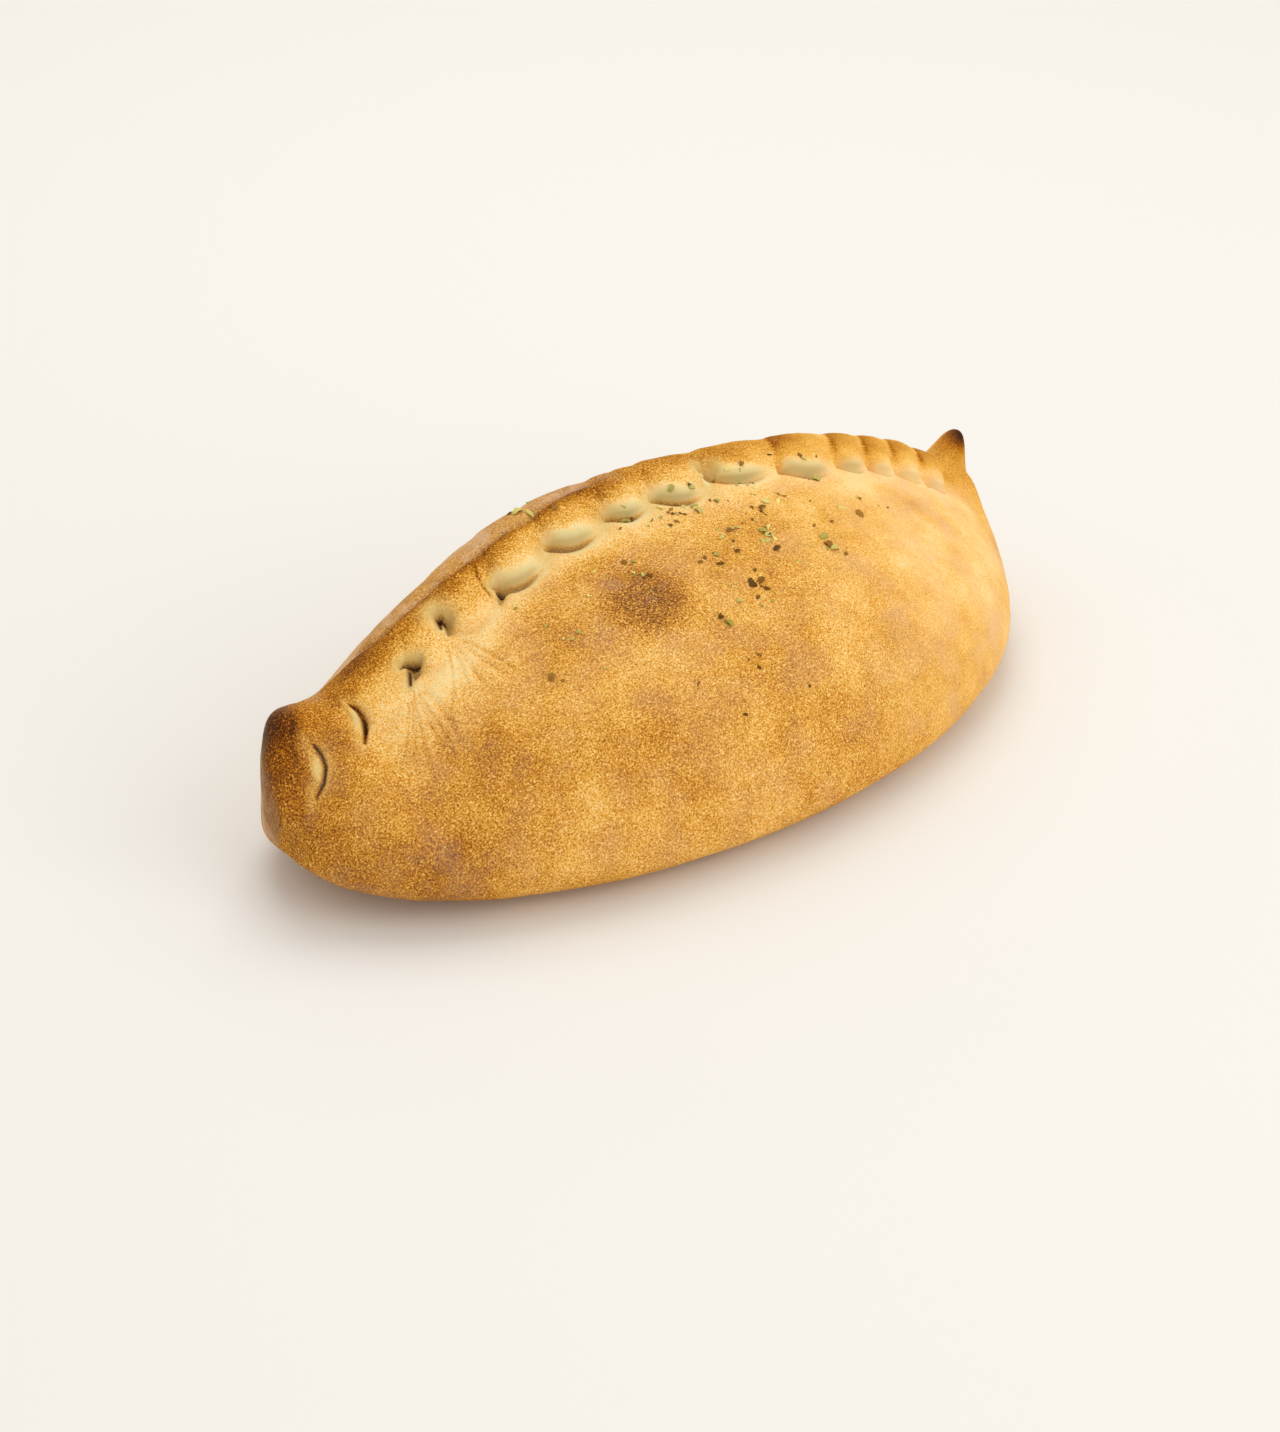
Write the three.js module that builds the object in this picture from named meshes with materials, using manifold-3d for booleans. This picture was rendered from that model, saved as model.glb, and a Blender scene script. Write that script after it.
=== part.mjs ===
// A baked calzone: a half-moon of pizza dough round a filling, closed along its top by a crimped seam.
//
// The dough is one solid. Its frame is right-handed, in millimetres: +X runs along the seam, from the blunt,
// browned tip at the left to the horn at the right, +Y points from the belly to the back, and +Z is up.
// The flat base rests on z = 0, and the origin is under the middle of the solid's box.
//
// The skin is swept from cross-sections strung along the seam. Each one falls from the crest over the belly and
// down the back, turns in under its widest points and meets the flat base.
// Relief is then added along the skin's normals: a rope of crimps with a crease under it. The two ends of the
// seam are pulled out into a knob and a horn. Flakes of dried herb lie on the belly, fused to it.

import * as THREE from "three";
import { mergeVertices } from "three/addons/utils/BufferGeometryUtils.js";
import Module from "manifold-3d";

// ---- Size of the dough -------------------------------------------------------------------------------
const HALF_LENGTH = 136.5;
const BELLY_DEPTH = 86.5; // from the seam's mid-plane to the front
const BACK_DEPTH = 40; // from the seam's mid-plane to the back
const CREST_HEIGHT = 76.3; // the seam's crest at the middle of the dough, with the crimps
const WIDEST_HEIGHT = 10.7; // where the belly is widest, low down because the dough slumps as it bakes
const RIDGE_Y = 6;
const BASE_SINK = 3.7; // the sections reach this far under the base before it is cut flat
const LEFT_TIP = { y: -24.5, z: 30.3 };
const RIGHT_TIP = { y: 3.5, z: 24 };
const BELLY_TAPER = -0.033; // the belly is this share shallower at the right tip, and deeper at the left
const HEIGHT_TAPER = 0.021;

// How fast each rail closes on the tips: 1 is an ellipse, less is blunter and more is sharper.
const CLOSING = {
  left: { belly: 1.045, back: 0.87, ridge: 0.8, top: 1.7, widest: 0.25, base: 0.44 },
  right: { belly: 1.045, back: 0.93, ridge: 0.8, top: 1, widest: 0.25, base: 0.44 },
};
// Superellipse powers of the sections: 2 is an ellipse, less is flatter and more is squarer.
const SECTION_POWER = { belly: 1.91, back: 1.76, under: 3 };

// ---- The crimped seam --------------------------------------------------------------------------------
const FIRST_CRIMP = -118;
// From the left tip: each crimp's width along the crest, the share of its fold that hangs over the front, how far
// below the crest its crease lies at its left edge and at its lowest, how deep the thumb went in at its left
// foot, and how far below the crest.
const CRIMPS = [
  [16, 0, 9.5, 16.5, 1.2, 10],
  [20, 0.1, 9.5, 16.5, 1.5, 11],
  [14, 0.3, 9.5, 16.5, 4.5, 11],
  [20, 0.5, 9.5, 16.5, 4.5, 8.8],
  [20, 1, 10, 16.4, 3.5, 14],
  [22, 1, 9.2, 16.2, 1.5, 10],
  [17, 1, 8.8, 14.8, 2, 10.5],
  [21, 1, 9, 16.3, 1.5, 10.5],
  [27, 1, 5.8, 12.8, 4, 6],
  [22, 0.95, 10, 17, 2, 11],
  [12, 0.9, 12, 15.5, 1, 12],
  [10.5, 0.8, 12, 15.8, 1, 13],
  [11, 0.75, 13, 17.5, 1, 14],
  [9.5, 0.7, 14, 19.5, 1, 18],
];
const ROPE_HEIGHT = 5.5; // the crimps stand this far proud of the dough
const ROPE_RISES = [-119, -105]; // where the crimps come up out of the dough, along the seam
const ROPE_SINKS = [121, 132];
const ROPE_BACK = 20; // from the crest to where the crimps melt into the back
const GROOVE_LEAN = 0.5; // the grooves lean this far along the seam for each mm down the front
const CREASE_DEPTH = 2.2;
const CREASE_WIDTH = 1.5;
const THUMB_SIZE = 2.2;
// Between two folds the dough stretches straight from the crest, at this share of the rope's height, to the belly.
const BRIDGE = { crest: 0.9, reach: 17 };

// ---- The seam's twisted ends -------------------------------------------------------------------------
// Where each swelling lies along the seam and across it, how wide it is, how blunt its top is, and how far it is
// pulled out. The cheek is the round end under the knob. The saddle, between the knob and the crimps, is pressed
// down, and the crown is where the crimps stand highest over the dough.
const KNOB = { x: -126.5, across: 1.2, along: 10.2, wide: 11, blunt: 2, pull: [-4, 0, 11.8] };
const CHEEK = { x: -132, across: 22, along: 8, wide: 8, blunt: 2, pull: [-1.5, 0, 0] };
const SADDLE = { x: -95.5, across: -2, along: 10.8, wide: 13, blunt: 2, pull: [0, 0, -2.5] };
const CROWN = { x: -36.5, across: -2, along: 18.6, wide: 12, blunt: 2, pull: [0, 0, 1.4] };
const HORN_ROOT = { x: 131, across: 7, along: 5.3, wide: 10, blunt: 2, pull: [2.1, 0, 2.6] };
const HORN = { x: 129.5, across: -1, along: 4.2, wide: 5, blunt: 3, pull: [4.9, 0, 9.3] };
const SWELLINGS = [KNOB, CHEEK, SADDLE, CROWN, HORN_ROOT, HORN];

// A blister in the skin of the belly.
const BLISTER = { x: -23, down: 44, radius: 12.5, lift: 0.8 };

// ---- Herb flakes -------------------------------------------------------------------------------------
const FLAKE_LENGTH = { least: 1.5, most: 3.2 };
const FLAKE_WIDTH_SHARE = 0.55;
const FLAKE_THICKNESS = 0.7;
// The patches where they fell: x and y of the middle, spread, and number of flakes. Most lie on the belly, some
// in the creases, and the last few behind the crest.
const HERB_PATCHES = [
  [26, -33, 5, 7],
  [8, -34, 4, 3],
  [10, -46, 5, 4],
  [39, -19, 5, 5],
  [44, -39, 5, 4],
  [61, -28, 6, 3],
  [6, -12, 4, 3],
  [18, -26, 3, 2],
  [-18, -28, 5, 2],
  [-8, -60, 9, 2],
  [-50, -33, 8, 2],
  [-5, -9, 2, 2],
  [15, -10, 4, 5],
  [39, -7, 3, 3],
  [60, -11, 4, 4],
  [-28, 11, 12, 4],
];
const HERB_SEED = 7;

// ---- Fineness of the skin ----------------------------------------------------------------------------
const RINGS = 124; // sections along the dough
// Columns down each side of a section: over the crimps, down the flank to its widest point, and under it.
const COLUMNS = {
  belly: { seam: 12, flank: 7, under: 4 },
  back: { seam: 5, flank: 5, under: 3 },
};
const SEAM_REACH = { belly: 21, back: 14 }; // the fine columns reach this far from the crest
const SEAM_SHARE = 0.4; // and no more than this share of a short flank near a tip
const UNDER_END = 0.85; // a section that hangs clear of the base stops at this share of a half turn

const { lerp, smoothstep } = THREE.MathUtils;

// The share of the rope's height along the dough: it fades out at both tips.
function ropeFade(x) {
  return smoothstep(x, ...ROPE_RISES) * (1 - smoothstep(x, ...ROPE_SINKS));
}

// The lines that bound the dough, at an angle along it from -90 degrees at the left tip to 90 at the right.
function railsAt(angle) {
  const along = Math.sin(angle);
  const fullness = Math.max(Math.cos(angle), 0);
  const rightness = (1 + along) / 2;
  const x = HALF_LENGTH * along;
  const tipY = lerp(LEFT_TIP.y, RIGHT_TIP.y, rightness);
  const tipZ = lerp(LEFT_TIP.z, RIGHT_TIP.z, rightness);
  const open = (rail, from, to) => {
    const closing = lerp(CLOSING.left[rail], CLOSING.right[rail], rightness);
    return lerp(from, to, fullness ** closing);
  };
  return {
    x,
    belly: open("belly", tipY, -BELLY_DEPTH * (1 + BELLY_TAPER * along)),
    back: open("back", tipY, BACK_DEPTH),
    ridgeY: open("ridge", tipY, RIDGE_Y),
    top: open("top", tipZ, CREST_HEIGHT * (1 + HEIGHT_TAPER * along)) - ROPE_HEIGHT * ropeFade(x),
    widest: open("widest", tipZ, WIDEST_HEIGHT),
    base: open("base", tipZ, -BASE_SINK),
  };
}

// A stretch of a cross-section's outline, over its widest point or under it, on the belly's side or the back's.
class SectionStretch extends THREE.Curve {
  constructor(rails, side, { under }) {
    super();
    this.rails = rails;
    this.power = 2 / (under ? SECTION_POWER.under : SECTION_POWER[side]);
    this.widestY = rails[side];
    this.far = under ? rails.base : rails.top;
    // Angles are measured from the crest's direction: the flank ends at the widest point, a right angle.
    this.from = under ? Math.PI / 2 : 0;
    this.to = under ? this.underEnd() : Math.PI / 2;
    this.arcLengthDivisions = 120;
  }
  // The angle where the outline meets the base, or where it stops if it hangs clear of it.
  underEnd() {
    const { widest, base } = this.rails;
    const clear = UNDER_END * Math.PI;
    if (base >= 0) return clear;
    const atBase = (widest / (widest - base)) ** (1 / this.power);
    return Math.min(Math.PI - Math.acos(atBase), clear);
  }
  getPoint(t, target = new THREE.Vector3()) {
    const turn = lerp(this.from, this.to, t);
    const out = Math.abs(Math.sin(turn)) ** this.power;
    const up = Math.abs(Math.cos(turn)) ** this.power;
    const y = lerp(this.rails.ridgeY, this.widestY, out);
    const z = lerp(this.rails.widest, this.far, up);
    return target.set(this.rails.x, y, Math.max(z, 0));
  }
}

// The belly's widest line, whose arc length spaces the sections evenly, also where it turns in at the tips.
class Waist extends THREE.Curve {
  angleAt(t) {
    return (t - 0.5) * Math.PI;
  }
  getPoint(t, target = new THREE.Vector3()) {
    const { x, belly, widest } = railsAt(this.angleAt(t));
    return target.set(x, belly, widest);
  }
}

// The points down one side of a section, each with its distance from the crest. They lie close together over
// the crimps, and close up again towards the widest point, where the outline bends the most.
function sidePoints(rails, side) {
  const flank = new SectionStretch(rails, side, { under: false });
  const under = new SectionStretch(rails, side, { under: true });
  const count = COLUMNS[side];
  const length = flank.getLength();
  const seam = Math.min(SEAM_REACH[side], SEAM_SHARE * length);
  const shares = (n) => Array.from({ length: n }, (_, k) => (k + 1) / n);
  const downs = [
    ...shares(count.seam).map((share) => seam * share),
    ...shares(count.flank).map((share) => lerp(seam, length, Math.sin((share * Math.PI) / 2))),
  ];
  return [
    ...downs.map((down) => ({ point: flank.getPointAt(Math.min(down / length, 1)), down })),
    ...shares(count.under).map((share) => ({
      point: under.getPointAt(share),
      down: length + under.getLength() * share,
    })),
  ];
}

// ---- Relief on the skin ------------------------------------------------------------------------------
// Its place is given by x along the dough and the distance down from the crest, which is negative on the back.

const bell = (distance, width) => Math.exp(-((distance / width) ** 2));

// Past the first crimp and the last, nothing hangs over.
const PLAIN_SEAM = { width: 20, hang: 0, creaseLeft: 16, creaseLow: 16, thumb: 0, thumbDown: 10, share: 0.6 };
const crimps = [];
let crimpLeft = FIRST_CRIMP;
for (const [width, hang, creaseLeft, creaseLow, thumb, thumbDown] of CRIMPS) {
  crimps.push({ left: crimpLeft, width, hang, creaseLeft, creaseLow, thumb, thumbDown });
  crimpLeft += width;
}

// The crest of the crimps lies in front of the dough's top at the left end, and a little behind it elsewhere.
function crestOffset(x) {
  return lerp(6, -2, smoothstep(x, -90, -20)) + 2 * smoothstep(x, 70, 110);
}

// The crimp that a point lies in, and the point's share of that crimp's width.
function crimpAt(x, down) {
  const onCrest = x + GROOVE_LEAN * down;
  const crimp = crimps.find(({ left, width }) => onCrest >= left && onCrest < left + width);
  if (!crimp) return PLAIN_SEAM;
  return { ...crimp, share: (onCrest - crimp.left) / crimp.width };
}

// How full a fold is at a share of its crimp's width: it swells at once at its left edge and runs out slowly.
function swell({ hang, width, share }) {
  const rise = Math.sqrt(smoothstep(share * width, -0.4, 3.2));
  return hang * rise * (1 - smoothstep(share, 0.55, 1));
}

// How far below the crest the crease under a fold lies. It drops from the left edge, then runs level.
function creaseAt({ creaseLeft, creaseLow, share }) {
  return lerp(creaseLeft, creaseLow, Math.sin((Math.PI / 2) * Math.min(share / 0.65, 1)));
}

// The rope of crimps, with the crease under each fold and the thumb mark at its foot.
function rope(x, belowTop) {
  const down = belowTop - crestOffset(x);
  const crimp = crimpAt(x, down);
  const full = swell(crimp);
  if (down < 0) {
    const melt = Math.cos((Math.PI / 2) * Math.min(-down / ROPE_BACK, 1)) ** 2;
    return ropeFade(x) * ROPE_HEIGHT * lerp(BRIDGE.crest, 1, full) * melt;
  }
  const crease = creaseAt(crimp);
  const reach = Math.min(down / crease, 1);
  const bridge = BRIDGE.crest * (1 - smoothstep(down, -1, BRIDGE.reach));
  const body = lerp(bridge, Math.sqrt(1 - reach ** 3), full);
  const cut = CREASE_DEPTH * full * bell(down - crease - 0.4, CREASE_WIDTH);
  const thumbAlong = bell(crimp.share * crimp.width - 1, THUMB_SIZE);
  const hollow = crimp.thumb * thumbAlong * bell(down - crimp.thumbDown, THUMB_SIZE);
  return ropeFade(x) * (ROPE_HEIGHT * body - cut - hollow);
}

function blister(x, down) {
  return BLISTER.lift * bell(Math.hypot(x - BLISTER.x, down - BLISTER.down), BLISTER.radius);
}

// How a swelling at a tip pulls the skin out.
function pullOf(swelling, x, down) {
  const along = Math.abs((x - swelling.x) / swelling.along) ** swelling.blunt;
  const across = Math.abs((down - swelling.across) / swelling.wide) ** swelling.blunt;
  return new THREE.Vector3(...swelling.pull).multiplyScalar(Math.exp(-along - across));
}

// ---- The skin ----------------------------------------------------------------------------------------

// The dough's bare skin as rings of points, each with its distance down from the crest.
function skinRings() {
  const waist = new Waist();
  const rings = [];
  for (let i = 1; i < RINGS; i++) {
    const rails = railsAt(waist.angleAt(waist.getUtoTmapping(i / RINGS)));
    const belly = sidePoints(rails, "belly");
    const back = sidePoints(rails, "back").map(({ point, down }) => ({ point, down: -down }));
    const crest = { point: new THREE.Vector3(rails.x, rails.ridgeY, rails.top), down: 0 };
    const underside = {
      point: new THREE.Vector3(rails.x, rails.ridgeY, Math.max(rails.base, 0)),
      down: Infinity,
    };
    rings.push([crest, ...belly, underside, ...back.reverse()]);
  }
  return rings;
}

// A closed surface through the rings, with a fan of triangles at each tip.
function skinGeometry(rings) {
  const columns = rings[0].length;
  const leftTip = new THREE.Vector3(-HALF_LENGTH, LEFT_TIP.y, LEFT_TIP.z);
  const rightTip = new THREE.Vector3(HALF_LENGTH, RIGHT_TIP.y, RIGHT_TIP.z);
  const points = [...rings.flat().map(({ point }) => point), leftTip, rightTip];
  const left = points.length - 2;
  const right = points.length - 1;
  const last = (rings.length - 1) * columns;
  const index = [];
  for (let column = 0; column < columns; column++) {
    const next = (column + 1) % columns;
    index.push(left, next, column, right, last + column, last + next);
    for (let ring = 0; ring < rings.length - 1; ring++) {
      const a = ring * columns;
      const b = a + columns;
      index.push(a + column, a + next, b + column, b + column, a + next, b + next);
    }
  }
  return new THREE.BufferGeometry().setFromPoints(points).setIndex(index);
}

// The skin with its relief. No point goes under the base.
function dough() {
  const rings = skinRings();
  const geometry = skinGeometry(rings);
  geometry.computeVertexNormals();
  const position = geometry.getAttribute("position");
  const normal = geometry.getAttribute("normal");
  const point = new THREE.Vector3();
  const outward = new THREE.Vector3();
  rings.flat().forEach(({ point: bare, down }, i) => {
    outward.fromBufferAttribute(normal, i);
    point.copy(bare).addScaledVector(outward, rope(bare.x, down) + blister(bare.x, down));
    for (const swelling of SWELLINGS) point.add(pullOf(swelling, bare.x, down));
    position.setXYZ(i, point.x, point.y, Math.max(point.z, 0));
  });
  return geometry;
}

// ---- Herbs -------------------------------------------------------------------------------------------

// A repeatable stream of numbers from 0 to 1.
function randomStream(seed) {
  let state = seed;
  return () => {
    state = (state * 16807) % 2147483647;
    return state / 2147483647;
  };
}

// The points, seen from above, where flakes fell.
function herbSpots(random) {
  const gauss = () => random() + random() + random() - 1.5;
  return HERB_PATCHES.flatMap(([x, y, spread, flakes]) =>
    Array.from({ length: flakes }, () => new THREE.Vector2(x + spread * gauss(), y + spread * gauss())),
  );
}

// Where a flake that falls at a point lands on the skin, and the way the skin faces there.
function landingOn(skin, { x, y }) {
  const raycaster = new THREE.Raycaster(new THREE.Vector3(x, y, 2 * CREST_HEIGHT), new THREE.Vector3(0, 0, -1));
  const [{ point, face }] = raycaster.intersectObject(skin);
  return { point, outward: face.normal };
}

// One dry flake: a thin shard, turned to lie on the skin and sunk into it by a third.
function flake({ point, outward }, random) {
  const length = lerp(FLAKE_LENGTH.least, FLAKE_LENGTH.most, random());
  const shard = new THREE.IcosahedronGeometry(0.5);
  shard.scale(length, length * FLAKE_WIDTH_SHARE, FLAKE_THICKNESS);
  shard.rotateZ(random() * Math.PI * 2);
  const lie = new THREE.Quaternion().setFromUnitVectors(new THREE.Vector3(0, 0, 1), outward);
  shard.applyQuaternion(lie);
  shard.translate(...point.clone().addScaledVector(outward, FLAKE_THICKNESS / 6));
  return shard;
}

// ---- One solid ---------------------------------------------------------------------------------------

const wasm = await Module();
wasm.setup();

function solidOf(geometry) {
  const bare = new THREE.BufferGeometry().setAttribute("position", geometry.getAttribute("position"));
  if (geometry.index) bare.setIndex(geometry.index);
  const merged = mergeVertices(bare, 1e-4);
  const mesh = new wasm.Mesh({
    numProp: 3,
    vertProperties: merged.getAttribute("position").array,
    triVerts: new Uint32Array(merged.index.array),
  });
  return new wasm.Manifold(mesh);
}

function geometryOf(solid) {
  const { numProp, vertProperties, triVerts } = solid.getMesh();
  const corners = new THREE.InterleavedBuffer(vertProperties, numProp);
  return new THREE.BufferGeometry()
    .setAttribute("position", new THREE.InterleavedBufferAttribute(corners, 3, 0))
    .setIndex(new THREE.BufferAttribute(triVerts, 1));
}

const random = randomStream(HERB_SEED);
const skin = new THREE.Mesh(dough());
let baked = solidOf(skin.geometry);
for (const spot of herbSpots(random)) {
  baked = baked.add(solidOf(flake(landingOn(skin, spot), random)));
}

const calzone = new THREE.Mesh(
  geometryOf(baked),
  new THREE.MeshStandardMaterial({ color: 0xd9a45c, roughness: 0.75, metalness: 0 }),
);
calzone.name = "calzone";

// The origin goes under the middle of the box.
calzone.geometry.computeBoundingBox();
const middle = calzone.geometry.boundingBox.getCenter(new THREE.Vector3());
calzone.position.set(-middle.x, -middle.y, 0);

const part = new THREE.Group();
part.add(calzone);
export default part;
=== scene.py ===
# %% [markdown]
# # A baked calzone
#
# A calzone is one disc of pizza dough, folded over its filling. The edge is rolled and crimped by hand. The
# oven browns whatever stands highest: the crest of the crimps, the two twisted ends and one blister.
#
# This lesson makes it in three steps. A flat sheet is wrapped round the filling and crimped. The crust's
# material then reads, point by point, how much heat each place had, and where shade is painted into creases,
# slits and folds. Last, dried herbs are sprinkled on top.
#
# The imported model is loaded first. It is the frame: every piece here is in its axes, in metres.

# %% The imported model
import math
import random

import bpy
import numpy as np
from mathutils import Euler, Matrix, Vector, noise
from mathutils.bvhtree import BVHTree


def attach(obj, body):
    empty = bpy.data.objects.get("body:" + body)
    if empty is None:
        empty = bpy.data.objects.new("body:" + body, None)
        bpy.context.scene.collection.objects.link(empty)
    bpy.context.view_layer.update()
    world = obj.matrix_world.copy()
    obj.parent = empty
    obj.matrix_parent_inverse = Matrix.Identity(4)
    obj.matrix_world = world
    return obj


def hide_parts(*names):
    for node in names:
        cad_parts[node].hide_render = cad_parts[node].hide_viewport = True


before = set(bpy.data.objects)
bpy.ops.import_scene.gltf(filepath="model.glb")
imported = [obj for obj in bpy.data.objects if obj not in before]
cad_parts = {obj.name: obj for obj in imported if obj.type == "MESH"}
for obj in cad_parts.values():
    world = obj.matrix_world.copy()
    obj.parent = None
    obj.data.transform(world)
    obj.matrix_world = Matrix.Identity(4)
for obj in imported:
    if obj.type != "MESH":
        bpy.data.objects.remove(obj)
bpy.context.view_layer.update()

# %% [markdown]
# ## Small helpers
#
# Most shapes here are blends of a few numbers. `lerp` goes from one value to another, `smoothstep` eases in
# and out between two edges, and `bell` is a soft bump. They work on one number and on a whole array alike.

# %% Helpers for shapes
MM = 0.001


def lerp(start, end, share):
    return start + (end - start) * share


def smoothstep(value, low, high):
    share = np.clip((value - low) / (high - low), 0, 1)
    return share * share * (3 - 2 * share)


def bell(distance, width):
    return np.exp(-((distance / width) ** 2))


# %% [markdown]
# An operator acts on whatever is selected, so each piece starts with nothing selected and ends as the one
# active object.

# %% Helpers for objects
def select_only(*pieces):
    bpy.ops.object.select_all(action="DESELECT")
    for piece in pieces:
        piece.select_set(True)
    if pieces:
        bpy.context.view_layer.objects.active = pieces[0]


def report(piece):
    mesh = piece.data
    triangles = sum(len(polygon.vertices) - 2 for polygon in mesh.polygons)
    size = [round(side * 1000, 1) for side in piece.dimensions]
    print(f"{piece.name}: {len(mesh.vertices)} points, {triangles} triangles, {size} mm")


# %% [markdown]
# ## Camera
#
# Food is often shown from a low three-quarter angle, as someone at the table sees it. The lens is long, so
# the far end of the dough keeps its size. The camera looks down by thirty degrees, and is turned until the
# seam runs from lower left to upper right.

# %% Camera
CAMERA_AT = Vector((-0.53267, -0.66785, 0.5071))
CAMERA_TURN = (59.7994, 0.6741, -38.2484)
LENS = 84.62

select_only()
bpy.ops.object.camera_add(location=CAMERA_AT, rotation=[math.radians(turn) for turn in CAMERA_TURN])
camera = bpy.context.object
camera.name = "camera"
camera.data.sensor_fit = "VERTICAL"
camera.data.sensor_height = 36
camera.data.lens = LENS
bpy.context.scene.camera = camera
print("camera is", round(CAMERA_AT.length, 3), "m from the dough's middle")

# %% [markdown]
# ## Light and floor
#
# The light is that of a bright kitchen: a white sky all round, which leaves no hard shadow, and one large
# soft window behind and above the dough, which draws the form of the crimps. A wide softbox in front lifts
# the belly. The view transform is Standard, so the colours of the materials come out as they are set.

# %% Light
WORLD_STRENGTH = 0.78
WORLD_TINT = (1, 0.99, 0.97, 1)
AIM = Vector((0, 0, 0.03))
SOFTBOXES = [
    {"name": "window", "at": (0.35, 0.55, 1.25), "size": 0.9, "power": 6, "tint": (1, 0.985, 0.96)},
    {"name": "front_fill", "at": (0.35, -1.5, 0.8), "size": 1.4, "power": 11, "tint": (1, 0.99, 0.98)},
]

scene = bpy.context.scene
scene.view_settings.view_transform = "Standard"
scene.view_settings.look = "None"
world = bpy.data.worlds.new("bright kitchen")
scene.world = world
world.use_nodes = True
world.node_tree.nodes["Background"].inputs["Color"].default_value = WORLD_TINT
world.node_tree.nodes["Background"].inputs["Strength"].default_value = WORLD_STRENGTH

for softbox in SOFTBOXES:
    toward = (AIM - Vector(softbox["at"])).to_track_quat("-Z", "Y").to_euler()
    bpy.ops.object.light_add(type="AREA", location=softbox["at"], rotation=toward)
    lamp = bpy.context.object
    lamp.name = softbox["name"]
    lamp.data.shape = "SQUARE"
    lamp.data.size = softbox["size"]
    lamp.data.energy = softbox["power"]
    lamp.data.color = softbox["tint"]
    print(lamp.name, "gives", lamp.data.energy, "W")

# %% Floor
FLOOR_RADIUS = 6
FLOOR_Z = -0.0003  # a hair under the base, so that the two never share a plane

select_only()
bpy.ops.mesh.primitive_circle_add(
    vertices=96, radius=FLOOR_RADIUS, fill_type="NGON", location=(0, 0, FLOOR_Z)
)
floor = bpy.context.object
floor.name = "floor"
print("floor is", 2 * FLOOR_RADIUS, "m across")

# %% [markdown]
# ## Dough: the form before it is crimped
#
# The dough could be sculpted, or lofted through a few curves. Here it is wrapped by numbers, because the
# same named measures make the solid model, and the two have to agree.
#
# Five lines run from tip to tip and bound the dough: the ridge with its height, the widest line of the belly
# and that of the back, the height at which it is widest, and the base. Each line opens from a tip by a power
# of the cosine. A power of 1 is an ellipse, a smaller one is blunter and a larger one is sharper.
#
# +X runs along the seam to the right, and +Y from the belly to the back. Depths are counted from Y = 0, which
# lies a little in front of the ridge.

# %% The dough's measures, in millimetres
HALF_LENGTH = 136.5
BELLY_DEPTH = 86.5
BACK_DEPTH = 40
CREST_HEIGHT = 76.3
WIDEST_HEIGHT = 10.7
RIDGE_Y = 6
BASE_SINK = 3.7  # a section would close this far under the floor, which cuts it off flat
LEFT_TIP = {"y": -24.5, "z": 30.3}
RIGHT_TIP = {"y": 3.5, "z": 24}
BELLY_TAPER = -0.033  # how much deeper the belly is at the right tip than in the middle
HEIGHT_TAPER = 0.021
CLOSING_LEFT = {"belly": 1.045, "back": 0.87, "ridge": 0.8, "top": 1.7, "widest": 0.25, "base": 0.44}
CLOSING_RIGHT = {"belly": 1.045, "back": 0.93, "ridge": 0.8, "top": 1, "widest": 0.25, "base": 0.44}
SECTION_POWER = {"belly": 1.91, "back": 1.76, "under": 3}
UNDER_END = 0.85  # where a section that hangs free at a tip ends, as a share of a half turn
ROPE_HEIGHT = 5.5  # of the crimps above the bare skin
ROPE_RISES = (-119, -105)
ROPE_SINKS = (121, 132)
SEAM_TO_MIDDLE = np.array([0.415, 23.276, 0])  # from Y = 0 to under the middle of the box


# %% The five lines
def rope_fade(x):
    """1 where the crimps stand in full, fading to 0 at the two ends."""
    return smoothstep(x, *ROPE_RISES) * (1 - smoothstep(x, *ROPE_SINKS))


def rails_at(angle):
    """Where the five lines are at an angle along the dough, from -90 degrees at the left tip to 90."""
    along = np.sin(angle)
    fullness = np.clip(np.cos(angle), 0, 1)
    rightness = (1 + along) / 2
    x = HALF_LENGTH * along
    tip_y = lerp(LEFT_TIP["y"], RIGHT_TIP["y"], rightness)
    tip_z = lerp(LEFT_TIP["z"], RIGHT_TIP["z"], rightness)

    def opened(rail, start, end):
        closing = lerp(CLOSING_LEFT[rail], CLOSING_RIGHT[rail], rightness)
        return lerp(start, end, fullness**closing)

    crest = opened("top", tip_z, CREST_HEIGHT * (1 + HEIGHT_TAPER * along))
    return {
        "x": x,
        "belly": opened("belly", tip_y, -BELLY_DEPTH * (1 + BELLY_TAPER * along)),
        "back": opened("back", tip_y, BACK_DEPTH),
        "ridge": opened("ridge", tip_y, RIDGE_Y),
        "top": crest - ROPE_HEIGHT * rope_fade(x),
        "widest": opened("widest", tip_z, WIDEST_HEIGHT),
        "base": opened("base", tip_z, -BASE_SINK),
    }


middle = rails_at(0.0)
print("in the middle the bare dough is", round(float(middle["top"]), 1), "mm high")

# %% [markdown]
# ## Dough: sections
#
# A section falls from the crest over the belly in a superellipse, turns in under its widest point and meets
# the flat base. The back does the same. Each section is measured along its outline, so that a point can be
# asked for by its distance from the crest, as a baker would point at a place on the crust.

# %% Sections
FINE = 240  # points along one stretch, from which the measured ones are read
FLANK_TURN = 1.3  # a sine up to this angle crowds the columns toward the widest line
SEAM_SHARE = 0.45  # near a tip, the seam's columns take at most this share of a side


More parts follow.
